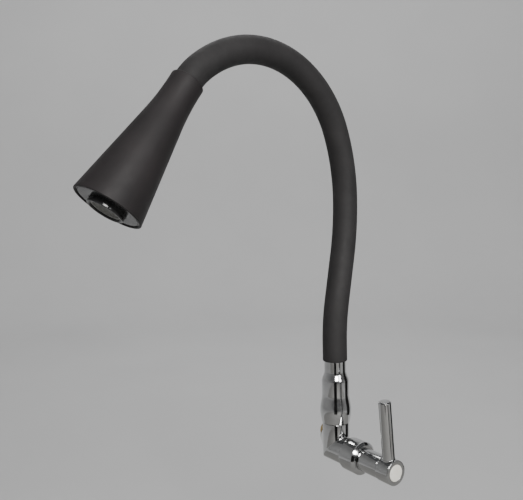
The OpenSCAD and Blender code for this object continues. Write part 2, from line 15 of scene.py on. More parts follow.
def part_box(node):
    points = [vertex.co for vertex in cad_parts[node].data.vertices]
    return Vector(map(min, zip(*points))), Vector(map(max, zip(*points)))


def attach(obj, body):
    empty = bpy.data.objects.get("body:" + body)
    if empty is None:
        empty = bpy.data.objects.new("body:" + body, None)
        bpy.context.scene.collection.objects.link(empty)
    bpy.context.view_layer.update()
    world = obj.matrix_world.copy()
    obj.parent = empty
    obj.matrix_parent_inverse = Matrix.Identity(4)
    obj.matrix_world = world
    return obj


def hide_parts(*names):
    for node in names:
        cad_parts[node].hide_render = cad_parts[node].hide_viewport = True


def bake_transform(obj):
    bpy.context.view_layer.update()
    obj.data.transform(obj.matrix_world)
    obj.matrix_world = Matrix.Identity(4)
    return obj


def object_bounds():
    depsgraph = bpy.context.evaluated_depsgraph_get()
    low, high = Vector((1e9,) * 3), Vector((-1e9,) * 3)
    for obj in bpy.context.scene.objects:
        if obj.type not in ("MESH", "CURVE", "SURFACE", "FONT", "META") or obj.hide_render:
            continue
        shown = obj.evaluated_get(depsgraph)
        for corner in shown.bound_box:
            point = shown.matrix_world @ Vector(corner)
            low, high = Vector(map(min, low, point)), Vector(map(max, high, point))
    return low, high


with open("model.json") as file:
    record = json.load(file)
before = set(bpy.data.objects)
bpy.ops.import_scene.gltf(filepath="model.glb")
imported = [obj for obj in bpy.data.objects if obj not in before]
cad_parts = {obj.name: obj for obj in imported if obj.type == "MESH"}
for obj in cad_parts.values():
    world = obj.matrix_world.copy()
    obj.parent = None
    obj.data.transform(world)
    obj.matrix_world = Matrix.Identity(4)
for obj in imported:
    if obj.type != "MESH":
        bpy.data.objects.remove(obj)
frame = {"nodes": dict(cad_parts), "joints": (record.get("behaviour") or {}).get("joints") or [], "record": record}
cad_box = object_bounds()

MM = 0.001
TURN = 2 * math.pi
# Radius at which a solid of revolution closes on its axis
TINY = 0.02 * MM
joints = {j["name"]: j for j in frame["joints"]}

# ---- Places taken from the frame ----

riser = Vector(joints["spout_swivel"]["pos_m"])
elbow = Vector(joints["lever_turn"]["pos_m"])
valve_axis = Vector(joints["lever_turn"]["axis"]).normalized()
head_at = Vector(joints["head_swivel"]["pos_m"])
head_axis = Vector(joints["head_swivel"]["axis"]).normalized()
bend_axis = Vector(joints["bend_low"]["axis"]).normalized()
up = Vector((0, 0, 1))
socket_top = riser.z
foot_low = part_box("spout_foot")[0][2]
foot_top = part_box("spout_foot")[1][2]

# ---- Sizes that the CAD model also uses ----

LEG_R = 12 * MM
CHEST_START = 17 * MM
CHEST_L = 20 * MM
CHEST_R = 14.4 * MM
HUB_R = 10 * MM
HUB_START = 37.4 * MM
HUB_L = 36 * MM
COLLAR_R = 10.6 * MM
COLLAR_BACK = 1.3 * MM
CAP_R = 7 * MM
CAP_INSET = 1.4 * MM
CAP_PROUD = 0.5 * MM
BAR_R = 5.3 * MM
BAR_FOOT = 6 * MM
TURN_GAP = 0.4 * MM
BAR_TOP = 60 * MM
LEVER_LEAN = math.radians(5)
FOOT_R = 12.2 * MM
BELL_R = 14 * MM
FOOT_TOP_R = 9.7 * MM
HOSE_R = 11 * MM
MOUTH_R = HOSE_R + TURN_GAP
SLEEVE_IN = 8 * MM
COIL_R = 7.9 * MM
COIL_IN = 6 * MM
TUBE_R = 5.9 * MM
TUBE_IN = 4.3 * MM
HEAD_L = 110 * MM
NECK_R = 12.9 * MM
NECK_L = 6 * MM
FLARE_L = 30 * MM
CONE_ANGLE = math.radians(8.4)
HEAD_WALL = 2 * MM
NOZZLE_R = 14 * MM
NOZZLE_OUT = 3.4 * MM
BARREL_R = 11.4775 * MM
THREAD_R = 10.4775 * MM
THREAD_L = 16 * MM
WASHER_T = 2 * MM
INLET_BORE_R = 5 * MM
NIPPLE_WALL = 1.8 * MM

# The hose's centre line from the foot up: for each rigid stretch its twist in
# degrees, then its steps of (length in mm, turn in degrees). The numbers were
# rounded from a least-squares fit to the hose in the photograph.
HOSE_STRETCHES = [
    (0, [(16.5, 0), (38, -12.5), (24, 0)]),
    (0, [(16, 0), (52, 13), (61.5, 23)]),
    (-4, [(17, 10.5), (107, 62.5)]),
    (-3, [(54, 32), (14, 15.5), (6, 0)]),
]
# How far to each side of a hinge two points on the hose are worked out; nothing uses these points
BEND_REACH = 44 * MM


# ---- Materials ----

def node_material(name, base, roughness, metallic=0.0):
    """A Principled material with its nodes, ready for its detail."""
    mat = bpy.data.materials.new(name)
    mat.use_nodes = True
    tree = mat.node_tree
    shader = tree.nodes["Principled BSDF"]
    shader.inputs["Base Color"].default_value = (*base, 1)
    shader.inputs["Roughness"].default_value = roughness
    shader.inputs["Metallic"].default_value = metallic
    return mat, tree, shader


def noise(tree, scale, detail):
    """An object-space noise, scale in features per metre."""
    coords = tree.nodes.new("ShaderNodeTexCoord")
    texture = tree.nodes.new("ShaderNodeTexNoise")
    texture.inputs["Scale"].default_value = scale
    texture.inputs["Detail"].default_value = detail
    tree.links.new(coords.outputs["Object"], texture.inputs["Vector"])
    return texture.outputs["Fac"]


# The part of a noise's range that its colours and values are spread over
NOISE_LOW = 0.3
NOISE_HIGH = 0.7


def spread(tree, value, low, high):
    """Maps a noise to the range low to high."""
    node = tree.nodes.new("ShaderNodeMapRange")
    node.inputs["From Min"].default_value = NOISE_LOW
    node.inputs["From Max"].default_value = NOISE_HIGH
    node.inputs["To Min"].default_value = low
    node.inputs["To Max"].default_value = high
    tree.links.new(value, node.inputs["Value"])
    return node.outputs["Result"]


def mix_colours(tree, value, dark, light):
    """Maps a noise to the colours from dark to light."""
    ramp = tree.nodes.new("ShaderNodeValToRGB")
    ramp.color_ramp.elements[0].position = NOISE_LOW
    ramp.color_ramp.elements[0].color = (*dark, 1)
    ramp.color_ramp.elements[1].position = NOISE_HIGH
    ramp.color_ramp.elements[1].color = (*light, 1)
    tree.links.new(value, ramp.inputs["Fac"])
    return ramp.outputs["Color"]


def bump(tree, shader, height, distance, strength):
    """Gives a shader fine relief, distance high in metres."""
    node = tree.nodes.new("ShaderNodeBump")
    node.inputs["Distance"].default_value = distance
    node.inputs["Strength"].default_value = strength
    tree.links.new(height, node.inputs["Height"])
    tree.links.new(node.outputs["Normal"], shader.inputs["Normal"])


def tint_base(tree, shader, scale, detail, dark, light):
    """Varies a shader's base colour from dark to light with a noise."""
    tree.links.new(
        mix_colours(tree, noise(tree, scale, detail), dark, light),
        shader.inputs["Base Color"],
    )


def surface(name, base, roughness, tint, gloss, relief, metallic=0.0, specular=0.5, coat=0.0):
    """A material of the object, with a noise each for its colour, gloss and relief.

    Each noise starts with its scale and detail. Then tint gives the dark and
    light colours, gloss the roughness from low to high, and relief the bump's
    height in metres and its strength.
    """
    mat, tree, shader = node_material(name, base, roughness, metallic)
    tint_base(tree, shader, *tint)
    scale, detail, low, high = gloss
    tree.links.new(
        spread(tree, noise(tree, scale, detail), low, high), shader.inputs["Roughness"]
    )
    scale, detail, height, strength = relief
    bump(tree, shader, noise(tree, scale, detail), height, strength)
    shader.inputs["Specular IOR Level"].default_value = specular
    shader.inputs["Coat Weight"].default_value = coat
    return mat


MATERIALS = {
    "chrome": surface(
        "polished_chrome", (0.57, 0.573, 0.572), 0.07, metallic=1.0,
        tint=(35, 3, (0.54, 0.543, 0.54), (0.6, 0.603, 0.605)),
        gloss=(90, 5, 0.05, 0.14), relief=(260, 2, 0.00002, 0.35),
    ),
    "brass": surface(
        "machined_brass", (0.72, 0.52, 0.22), 0.3, metallic=1.0,
        tint=(70, 5, (0.6, 0.42, 0.17), (0.78, 0.58, 0.27)),
        gloss=(500, 4, 0.22, 0.42), relief=(3000, 2, 0.00002, 0.5),
    ),
    "seal_rubber": surface(
        "seal_rubber", (0.02, 0.02, 0.02), 0.75,
        tint=(200, 5, (0.014, 0.014, 0.014), (0.028, 0.028, 0.027)),
        gloss=(900, 4, 0.65, 0.85), relief=(3500, 3, 0.00004, 0.6),
    ),
    "steel": surface(
        "stainless_steel", (0.55, 0.56, 0.57), 0.32, metallic=1.0,
        tint=(90, 4, (0.48, 0.49, 0.5), (0.62, 0.63, 0.64)),
        gloss=(600, 4, 0.24, 0.42), relief=(2500, 2, 0.00002, 0.5),
    ),
    "ceramic": surface(
        "lapped_ceramic", (0.82, 0.8, 0.75), 0.25,
        tint=(150, 4, (0.78, 0.76, 0.7), (0.86, 0.85, 0.81)),
        gloss=(700, 3, 0.2, 0.34), relief=(4000, 2, 0.00001, 0.4),
    ),
    "white_plastic": surface(
        "cream_plastic", (0.8, 0.76, 0.64), 0.3, coat=0.4,
        tint=(120, 4, (0.88, 0.85, 0.76), (0.95, 0.93, 0.86)),
        gloss=(400, 3, 0.24, 0.36), relief=(1500, 2, 0.00001, 0.4),
    ),
    "silicone": surface(
        "charcoal_silicone", (0.03, 0.029, 0.029), 0.62, specular=0.25,
        tint=(45, 6, (0.024, 0.023, 0.0235), (0.033, 0.0315, 0.032)),
        gloss=(220, 5, 0.55, 0.7), relief=(2600, 3, 0.00003, 0.5),
    ),
    "black_plastic": surface(
        "satin_black_moulding", (0.03, 0.028, 0.029), 0.45, specular=0.22,
        tint=(30, 5, (0.019, 0.0172, 0.0178), (0.026, 0.0228, 0.0236)),
        gloss=(160, 5, 0.46, 0.56), relief=(3200, 3, 0.00002, 0.5),
    ),
    "gloss_black": surface(
        "gloss_black_plastic", (0.02, 0.02, 0.021), 0.12, specular=0.4,
        tint=(80, 4, (0.017, 0.017, 0.018), (0.026, 0.026, 0.027)),
        gloss=(300, 4, 0.08, 0.2), relief=(900, 2, 0.00001, 0.4),
    ),
    "mesh_plastic": surface(
        "grey_screen", (0.3, 0.3, 0.29), 0.42,
        tint=(500, 4, (0.24, 0.24, 0.23), (0.38, 0.38, 0.37)),
        gloss=(1500, 3, 0.34, 0.52), relief=(5000, 2, 0.00001, 0.4),
    ),
}


def paint_cad_nodes():
    """Gives every carried-over CAD node the material of its slot."""
    slots = {s["node"]: s["material_slot"] for s in frame["record"]["subparts"]}
    for name, obj in frame["nodes"].items():
        for material_slot in obj.material_slots:
            material_slot.material = MATERIALS[slots[name]]


# ---- Mesh helpers ----

def frame_of(origin, axis, side=None):
    """A matrix whose +Z is axis, with +Y as near side as it can be."""
    z = Vector(axis).normalized()
    y = Vector(side) if side is not None else (up if abs(z.z) < 0.9 else Vector((0, 1, 0)))
    y = (y - y.dot(z) * z).normalized()
    x = y.cross(z)
    matrix = Matrix((x, y, z)).transposed().to_4x4()
    matrix.translation = origin
    return matrix


def add_piece(name, verts, faces, slot, body, replaced, sharp=32):
    """Makes a piece of the object, shaded smooth up to an angle."""
    mesh = bpy.data.meshes.new(name)
    mesh.from_pydata([tuple(v) for v in verts], [], faces)
    bm = bmesh.new()
    bm.from_mesh(mesh)
    bmesh.ops.remove_doubles(bm, verts=bm.verts, dist=1e-7)
    bmesh.ops.recalc_face_normals(bm, faces=bm.faces)
    bm.to_mesh(mesh)
    bm.free()
    for polygon in mesh.polygons:
        polygon.use_smooth = True
    mesh.set_sharp_from_angle(angle=math.radians(sharp))
    mesh.materials.append(MATERIALS[slot])
    obj = bpy.data.objects.new(name, mesh)
    bpy.context.scene.collection.objects.link(obj)
    if replaced:
        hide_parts(*replaced)
    if body:
        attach(obj, body)
    return obj


def rounded(points, steps=5):
    """A closed profile of (radius, height, fillet) points with its corners rounded."""
    out = []
    count = len(points)
    for i, (r, z, fillet) in enumerate(points):
        here = Vector((r, z))
        if not fillet:
            out.append(here)
            continue
        before = Vector(points[i - 1][:2]) - here
        after = Vector(points[(i + 1) % count][:2]) - here
        half = before.angle(after) / 2
        reach = min(fillet / math.tan(half), 0.49 * before.length, 0.49 * after.length)
        start = here + before.normalized() * reach
        end = here + after.normalized() * reach
        for k in range(steps + 1):
            t = k / steps
            out.append((1 - t) ** 2 * start + 2 * t * (1 - t) * here + t * t * end)
    return out


def lathe_mesh(profile, matrix, segments=96):
    """Turns a closed profile of (radius, height) about the matrix's Z."""
    verts = []
    for p in profile:
        for s in range(segments):
            a = TURN * s / segments
            verts.append(matrix @ Vector((p[0] * math.cos(a), p[0] * math.sin(a), p[1])))
    faces = []
    rows = len(profile)
    for i in range(rows):
        j = (i + 1) % rows
        for s in range(segments):
            n = (s + 1) % segments
            faces.append((i * segments + s, i * segments + n, j * segments + n, j * segments + s))
    return verts, faces


def lathe(name, profile, matrix, slot, body, replaced, segments=96):
    verts, faces = lathe_mesh(profile, matrix, segments)
    return add_piece(name, verts, faces, slot, body, replaced)


def join_meshes(*parts):
    """One list of vertices and faces from several."""
    verts, faces = [], []
    for part_verts, part_faces in parts:
        base = len(verts)
        verts += part_verts
        faces += [tuple(base + i for i in face) for face in part_faces]
    return verts, faces


# ---- Body ----

def elbow_mesh():
    """The riser socket and the valve leg as one mitred pipe with a small fillet."""
    columns = 128
    fillet = 1.1 * MM
    fillet_steps = 8
    socket_edge = 0.5 * MM
    edge_steps = 4
    leg_end = CHEST_START + 1 * MM
    side = up.cross(valve_axis).normalized()
    verts = []
    for s in range(columns):
        angle = TURN * s / columns
        across = math.sin(angle)
        inward = math.cos(angle)
        corner = LEG_R * inward
        column = []
        # down the socket: the top face's middle, its rounded edge and its side
        column.append((0.0, socket_top, 0.0))
        column.append((inward * (LEG_R - socket_edge), socket_top, across * (LEG_R - socket_edge)))
        for k in range(1, edge_steps + 1):
            a = k / edge_steps * math.pi / 2
            r = LEG_R - socket_edge + socket_edge * math.sin(a)
            column.append((inward * r, socket_top - socket_edge * (1 - math.cos(a)), across * r))
        for k in range(fillet_steps + 1):
            a = k / fillet_steps * math.pi / 2
            column.append((
                corner + fillet * (1 - math.cos(a)),
                corner + fillet * (1 - math.sin(a)),
                across * LEG_R,
            ))
        # along the leg to just inside the chest ring
        column.append((leg_end, corner, across * LEG_R))
        column.append((leg_end, 0.0, 0.0))
        for along, height, off in column:
            verts.append(elbow + valve_axis * along + up * height + side * off)
    rows = len(verts) // columns
    faces = []
    for s in range(columns):
        n = (s + 1) % columns
        for k in range(rows - 1):
            faces.append((s * rows + k, n * rows + k, n * rows + k + 1, s * rows + k + 1))
    return verts, faces


def make_body():
    """The chrome elbow: the riser socket and the valve leg."""
    barrel_end = elbow.y + 6 * MM
    barrel = rounded([
        (TINY, 0, 0), (BARREL_R, 0, 0),
        (BARREL_R, -WASHER_T - barrel_end, 0.7 * MM), (TINY, -WASHER_T - barrel_end, 0),
    ])
    barrel_mesh = lathe_mesh(barrel, frame_of((0, barrel_end, 0), (0, 1, 0)))
    verts, faces = join_meshes(elbow_mesh(), barrel_mesh)
    add_piece("body_casting", verts, faces, "chrome", "tap_body", ["valve_body"])


def make_chest_ring():
    """The wider ring round the valve leg, bevelled at both ends."""
    bevel = 2 * MM
    lip = 0.5 * MM
    inner_r = 9 * MM
    profile = rounded([
        (inner_r, CHEST_START, 0),
        (CHEST_R - bevel, CHEST_START, 0.3 * MM),
        (CHEST_R - 0.3 * MM, CHEST_START + bevel, 0.5 * MM),
        (CHEST_R - 0.3 * MM, CHEST_START + bevel + lip, 0.2 * MM),
        (CHEST_R, CHEST_START + bevel + 2 * lip, 0.4 * MM),
        (CHEST_R, CHEST_START + CHEST_L - bevel - lip, 0.6 * MM),
        (CHEST_R - bevel, CHEST_START + CHEST_L - lip, 0.4 * MM),
        (CHEST_R - bevel - 0.4 * MM, CHEST_START + CHEST_L, 0.3 * MM),
        (inner_r, CHEST_START + CHEST_L, 0),
    ])
    lathe("chest_cover", profile, frame_of(elbow, valve_axis), "chrome", "tap_body", ["chest_ring"])


def make_inlet():
    """The G1/2 spigot with its real helical thread, and the flat washer."""
    pitch = 25.4 / 14 * MM
    depth = 1.162 * MM
    flank_slope, flank_start = 2.6, 0.15
    end_slope = 0.8
    rows, columns = 190, 96
    taper = 1.5 * MM
    matrix = frame_of((0, 0, 0), (0, 1, 0))
    verts = []
    for i in range(rows + 1):
        z = THREAD_L * i / rows
        run_in = min(1, (THREAD_L - z) / taper, z / taper)
        for s in range(columns):
            phase = (z / pitch - s / columns) % 1
            groove = max(0.0, min(1.0, flank_slope * abs(phase - 0.5) - flank_start))
            chamfer = max(0.0, z - (THREAD_L - taper)) * end_slope
            r = THREAD_R - depth * groove * run_in - chamfer
            a = TURN * s / columns
            verts.append(matrix @ Vector((r * math.cos(a), r * math.sin(a), z)))
    faces = []
    for i in range(rows):
        for s in range(columns):
            n = (s + 1) % columns
            faces.append((
                i * columns + s, i * columns + n,
                (i + 1) * columns + n, (i + 1) * columns + s,
            ))
    # the bore, and the ring faces at both ends
    first_bore = len(verts)
    nipple_foot = -11 * MM
    for z, r in ((THREAD_L, INLET_BORE_R), (nipple_foot, INLET_BORE_R),
                 (nipple_foot, INLET_BORE_R + NIPPLE_WALL), (0, INLET_BORE_R + NIPPLE_WALL)):
        for s in range(columns):
            a = TURN * s / columns
            verts.append(matrix @ Vector((r * math.cos(a), r * math.sin(a), z)))
    loops = [rows * columns] + [first_bore + k * columns for k in range(4)] + [0]
    for low, high in zip(loops, loops[1:]):
        for s in range(columns):
            n = (s + 1) % columns
            faces.append((low + s, low + n, high + n, high + s))
    add_piece("threaded_inlet", verts, faces, "brass", "tap_body", ["inlet_nipple"], sharp=25)
    washer_in = INLET_BORE_R + 1.9 * MM
    washer = rounded([
        (washer_in, -WASHER_T, 0.2 * MM), (BARREL_R, -WASHER_T, 0.4 * MM),
        (BARREL_R, 0, 0.4 * MM), (washer_in, 0, 0.2 * MM),
    ])
    lathe("flat_washer", washer, matrix, "seal_rubber", "tap_body", ["inlet_washer"])


# ---- Lever ----

def make_lever():
    """The lever hub with its collar, the cream cap, the round bar and its seat ring."""
    hub_end = HUB_START + HUB_L
    cap_seat = hub_end - CAP_INSET
    bar_at = cap_seat - TURN_GAP - BAR_R
    collar = bar_at - BAR_R - COLLAR_BACK
    hollow = HUB_START + 4.6 * MM
    screw_seat = hollow + 14 * MM
    hollow_r, spindle_r, screw_bore_r = 8 * MM, 4 * MM, 4.4 * MM
    groove = 0.25 * MM
    matrix = frame_of(elbow, valve_axis)
    hub = rounded([
        (hollow_r, HUB_START, 0.2 * MM), (HUB_R, HUB_START, 0.5 * MM),
        (HUB_R, collar - 2 * groove, 0.1 * MM), (HUB_R - groove, collar - groove, 0.1 * MM),
        (HUB_R - groove, collar, 0.1 * MM), (COLLAR_R, collar, 0.5 * MM),
        (COLLAR_R, hub_end, 0.8 * MM), (CAP_R, hub_end, 0.4 * MM),
        (CAP_R, cap_seat, 0), (screw_bore_r, cap_seat, 0), (screw_bore_r, screw_seat, 0),
        (spindle_r, screw_seat, 0), (spindle_r, hollow, 0), (hollow_r, hollow, 0),
    ])
    lathe("hub_shell", hub, matrix, "chrome", "lever", ["lever_hub"], 128)
    dome = 0.35 * MM
    cap_edge_r = CAP_R - 0.05 * MM
    cap = rounded([
        (TINY, cap_seat, 0), (cap_edge_r, cap_seat, 0),
        (cap_edge_r, hub_end + CAP_PROUD - dome, 0.3 * MM),
        (CAP_R * 0.9, hub_end + CAP_PROUD - dome / 2, 0.6 * MM),
        (CAP_R * 0.5, hub_end + CAP_PROUD - dome / 9, 2 * MM),
        (TINY, hub_end + CAP_PROUD, 0),
    ])
    lathe("front_cap", cap, matrix, "white_plastic", "lever", ["index_cap"])
    side = valve_axis.cross(up)
    bar_dir = up * math.cos(LEVER_LEAN) + side * math.sin(LEVER_LEAN)
    bar_base = elbow + valve_axis * bar_at
    bar_matrix = frame_of(bar_base, bar_dir)
    top_chamfer = 0.9 * MM
    bar = rounded([
        (TINY, BAR_FOOT, 0), (BAR_R, BAR_FOOT, 0), (BAR_R, BAR_TOP - top_chamfer, 0.25 * MM),
        (BAR_R - top_chamfer, BAR_TOP, 0.25 * MM), (TINY, BAR_TOP, 0),
    ])
    lathe("round_bar", bar, bar_matrix, "chrome", "lever", ["lever_bar"])
    bead = 0.35 * MM
    bead_in = BAR_R - 0.1 * MM
    seat_ring = rounded([
        (bead_in, COLLAR_R - bead, 0), (BAR_R + bead, COLLAR_R - bead, 0),
        (BAR_R + bead, COLLAR_R - 0.05 * MM, 0.15 * MM), (bead_in, COLLAR_R, 0),
    ])
    lathe("bar_seat_ring", seat_ring, bar_matrix, "chrome", "lever", [])


# ---- Spout foot ----

def make_foot():
    """The swivel foot: a bell round the riser, a sleeve, and a slim top for the hose."""
    edge = 0.5 * MM
    bell_from = socket_top - 4 * MM
    bell_l = 30 * MM
    bell_steps = 40
    bell_top = bell_from + bell_l
    taper_top = foot_top - 9.5 * MM
    taper_low = taper_top - 9 * MM
    shoulder_steps = 24
    bell = []
    for i in range(bell_steps + 1):
        z = foot_low + edge + (bell_top - foot_low - edge) * i / bell_steps
        wave = (1 - math.cos(TURN * min(1, (z - bell_from) / bell_l))) / 2
        bell.append(Vector((FOOT_R + (BELL_R - FOOT_R) * wave, z)))
    # the rounded lower edge leads up to the bell
    low_r = bell[0].x
    outer = [Vector((low_r - edge, foot_low)),
             Vector((low_r - 0.12 * MM, foot_low + 0.14 * MM))] + bell
    # an S-shaped shoulder from the sleeve to the slim top
    for i in range(1, shoulder_steps + 1):
        t = i / shoulder_steps
        ease = t * t * (3 - 2 * t)
        z = taper_low + (taper_top - taper_low) * t
        outer.append(Vector((FOOT_R + (FOOT_TOP_R - FOOT_R) * ease, z)))
    # down the inside: the hose barb's seat, the spigot's room and the skirt
    barb_seat = foot_top - 20 * MM
    skirt_top = foot_low + 2 * MM
    barb_r, spigot_room_r, skirt_r = 8 * MM, 10.6 * MM, 11.8 * MM
    inner = [Vector(point) for point in (
        (FOOT_TOP_R, foot_top), (barb_r, foot_top), (barb_r, barb_seat),
        (spigot_room_r, barb_seat), (spigot_room_r, skirt_top),
        (skirt_r, skirt_top), (skirt_r, foot_low),
    )]
    lathe("bell_foot", outer + inner, frame_of((riser.x, riser.y, 0), up), "chrome", "spout",
          ["spout_foot"], 128)


# ---- Hose ----

def hose_place(distance):
    """The hose's own frame at a distance from its foot: +Z along it, +Y sideways."""
    place = frame_of((riser.x, riser.y, foot_top), up, bend_axis)
    left = distance
    for twist, steps in HOSE_STRETCHES:
        place = place @ Matrix.Rotation(math.radians(twist), 4, "Z")
        for length, turn in steps:
            length *= MM
            part = min(left, length)
            a = math.radians(turn) * part / length
            if turn:
                bend_r = length / math.radians(turn)
                step = Vector((bend_r * (1 - math.cos(a)), 0, bend_r * math.sin(a)))
            else:
                step = Vector((0, 0, part))
            place = place @ Matrix.Translation(step) @ Matrix.Rotation(a, 4, "Y")
            left -= part
            if left <= 0:
                return place
    return place


def stretch_length(stretch):
    return sum(length for length, _ in stretch[1]) * MM


HINGES = [sum(stretch_length(s) for s in HOSE_STRETCHES[:i]) for i in (1, 2, 3)]
HOSE_L = sum(stretch_length(s) for s in HOSE_STRETCHES)
MEETS = [0.0, (HINGES[0] + HINGES[1]) / 2, (HINGES[1] + HINGES[2]) / 2, HOSE_L]


def swept_mesh(start, end, r_out, r_in, sides, step, edges):
    """A tube along the hose. r_out is a function of the distance; edges are edge radii."""
    spans = max(2, round((end - start) / step))
    stations = [start + (end - start) * i / spans for i in range(spans + 1)]
    edge_steps = 4
    for edge, rim, sign in ((edges[0], start, 1), (edges[1], end, -1)):
        if edge:
            extra = [rim + sign * edge * (1 - math.cos(k / edge_steps * math.pi / 2))
                     for k in range(edge_steps)]
            stations = sorted(set(s for s in stations if sign * (s - rim) >= edge) | set(extra))

    def radius(s):
        r = r_out(s)
        for edge, rim in ((edges[0], start), (edges[1], end)):
            if edge and abs(s - rim) < edge:
                depth = edge - abs(s - rim)
                r -= edge - math.sqrt(max(0.0, edge * edge - depth * depth))
        return r

    rings = [(s, radius(s)) for s in stations] + [(s, r_in) for s in reversed(stations)]
    verts = []
    for s, r in rings:
        place = hose_place(s)
        for k in range(sides):
            a = TURN * k / sides
            verts.append(place @ Vector((r * math.cos(a), r * math.sin(a), 0)))
    faces = []
    for i in range(len(rings)):
        j = (i + 1) % len(rings)
        for k in range(sides):
            n = (k + 1) % sides
            faces.append((i * sides + k, i * sides + n, j * sides + n, j * sides + k))
    return verts, faces


def hose_layer(name, slot, node, r_out, r_in, sides, step, edge=0.0, last=HOSE_L):
    """One layer of the hose, in three pieces that each span one hinge."""
    names = ["lower", "middle", "upper"]
    lengths = [node + "_foot", node + "_rise", node + "_arch", node + "_end"]
    replaced = [lengths[0:1], lengths[1:2], lengths[2:4]]
    for i in range(3):
        end = MEETS[i + 1] if i < 2 else last
        edges = (edge if i == 0 else 0.0, edge if i == 2 else 0.0)
        verts, faces = swept_mesh(MEETS[i], end, r_out, r_in, sides, step, edges)
        piece = add_piece(name + "_" + names[i], verts, faces, slot, None, replaced[i])
        low = hose_place(HINGES[i] - BEND_REACH).translation
        high = hose_place(HINGES[i] + BEND_REACH).translation
        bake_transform(piece)


def make_hose():
    """The silicone sleeve, the coiled gooseneck inside it and the water tube inside that."""
    coil_pitch = 3.2 * MM
    coil_depth = 0.7 * MM
    inner_end = HOSE_L - 0.1 * MM

    def coil_radius(s):
        wave = abs((s / coil_pitch) % 1 - 0.5) * 2
        return COIL_R - coil_depth * wave * wave

    hose_layer("silicone_sleeve", "silicone", "sleeve", lambda s: HOSE_R, SLEEVE_IN,
               72, 1.6 * MM, edge=0.8 * MM)
    hose_layer("steel_gooseneck", "steel", "gooseneck", coil_radius, COIL_IN,
               40, 0.8 * MM, last=inner_end)
    hose_layer("inner_water_tube", "seal_rubber", "water_tube", lambda s: TUBE_R, TUBE_IN,
               32, 3 * MM, last=inner_end)


# ---- Head ----

def head_outline():
    """The flare's points from the straight neck down, and the cone's radius at the rim."""
    steps = 24
    flare_r = FLARE_L / math.sin(CONE_ANGLE)
    points = []
    for i in range(steps + 1):
        a = CONE_ANGLE * i / steps
        points.append((NECK_R + flare_r * (1 - math.cos(a)), NECK_L + flare_r * math.sin(a), 0))
    rise = (HEAD_L - NECK_L - FLARE_L) * math.tan(CONE_ANGLE)
    return points, points[-1][0] + rise


def make_head():
    """The cone shell, the glossy face, the nozzle and its screen."""
    matrix = frame_of(head_at, head_axis)
    flare, rim_r = head_outline()
    seat = HEAD_L - 2.6 * MM
    plate_r = rim_r - HEAD_WALL
    mouth_l = 9 * MM
    bore_r, bore_end = 11 * MM, 29.4 * MM
    throat_r, throat_at = 14 * MM, 32 * MM
    shell = [
        (MOUTH_R, 0, 0.3 * MM), (NECK_R, 0, 1.8 * MM),
    ] + flare + [
        (rim_r, HEAD_L, 0.7 * MM), (plate_r + 0.4 * MM, HEAD_L, 0.3 * MM),
        (plate_r, HEAD_L - 0.5 * MM, 0), (plate_r, seat, 0),
        (plate_r - 1 * MM, seat, 0), (throat_r, throat_at, 0), (bore_r, bore_end, 0),
        (bore_r, mouth_l, 0), (MOUTH_R, mouth_l, 0),
    ]
    lathe("cone_shell", rounded(shell), matrix, "black_plastic", "head", ["head_shell"], 128)
    face = HEAD_L - 0.6 * MM
    recess = face - 0.5 * MM
    rim_drop = face - 0.3 * MM
    recess_r = NOZZLE_R + 0.5 * MM
    plate_edge_r = plate_r - 0.02 * MM
    plate = [
        (NOZZLE_R, seat, 0), (NOZZLE_R, recess, 0.1 * MM),
        (recess_r, recess, 0.1 * MM), (recess_r, face, 0.15 * MM),
        (plate_r - 1.2 * MM, face, 0.2 * MM), (plate_r - 0.9 * MM, rim_drop, 0.2 * MM),
        (plate_edge_r, rim_drop, 0), (plate_edge_r, seat, 0),
    ]
    lathe("gloss_face", rounded(plate), matrix, "gloss_black", "head", ["face_plate"], 128)
    nozzle_low = HEAD_L - 12 * MM
    nozzle_floor = nozzle_low + 2 * MM
    nozzle_edge_r = NOZZLE_R - 0.05 * MM
    hole_r = 7 * MM
    tip = HEAD_L + NOZZLE_OUT
    inner = NOZZLE_R - 2.4 * MM
    nozzle = [
        (hole_r, nozzle_low, 0), (nozzle_edge_r, nozzle_low, 0.3 * MM),
        (nozzle_edge_r, tip - 0.4 * MM, 0.35 * MM), (NOZZLE_R - 0.5 * MM, tip, 0.3 * MM),
        (inner + 0.9 * MM, tip, 0.3 * MM), (inner, tip - 1 * MM, 0.2 * MM),
        (inner, nozzle_floor, 0), (hole_r, nozzle_floor, 0),
    ]
    lathe("nozzle_shell", rounded(nozzle), matrix, "gloss_black", "head", ["nozzle_ring"], 128)
    make_screen(matrix, tip - 1.5 * MM, inner)


def wire(points, radius, sides=6):
    """A thin round wire along a list of points, closed at its ends."""
    verts, faces = [], []
    for i, p in enumerate(points):
        before = points[max(0, i - 1)]
        after = points[min(len(points) - 1, i + 1)]
        place = frame_of(p, after - before, (0, 0, 1))
        for k in range(sides):
            a = TURN * k / sides
            verts.append(place @ Vector((radius * math.cos(a), radius * math.sin(a), 0)))
    for i in range(len(points) - 1):
        for k in range(sides):
            n = (k + 1) % sides
            faces.append((i * sides + k, i * sides + n, (i + 1) * sides + n, (i + 1) * sides + k))
    faces.append(tuple(range(sides)))
    faces.append(tuple((len(points) - 1) * sides + k for k in range(sides)))
    return verts, faces


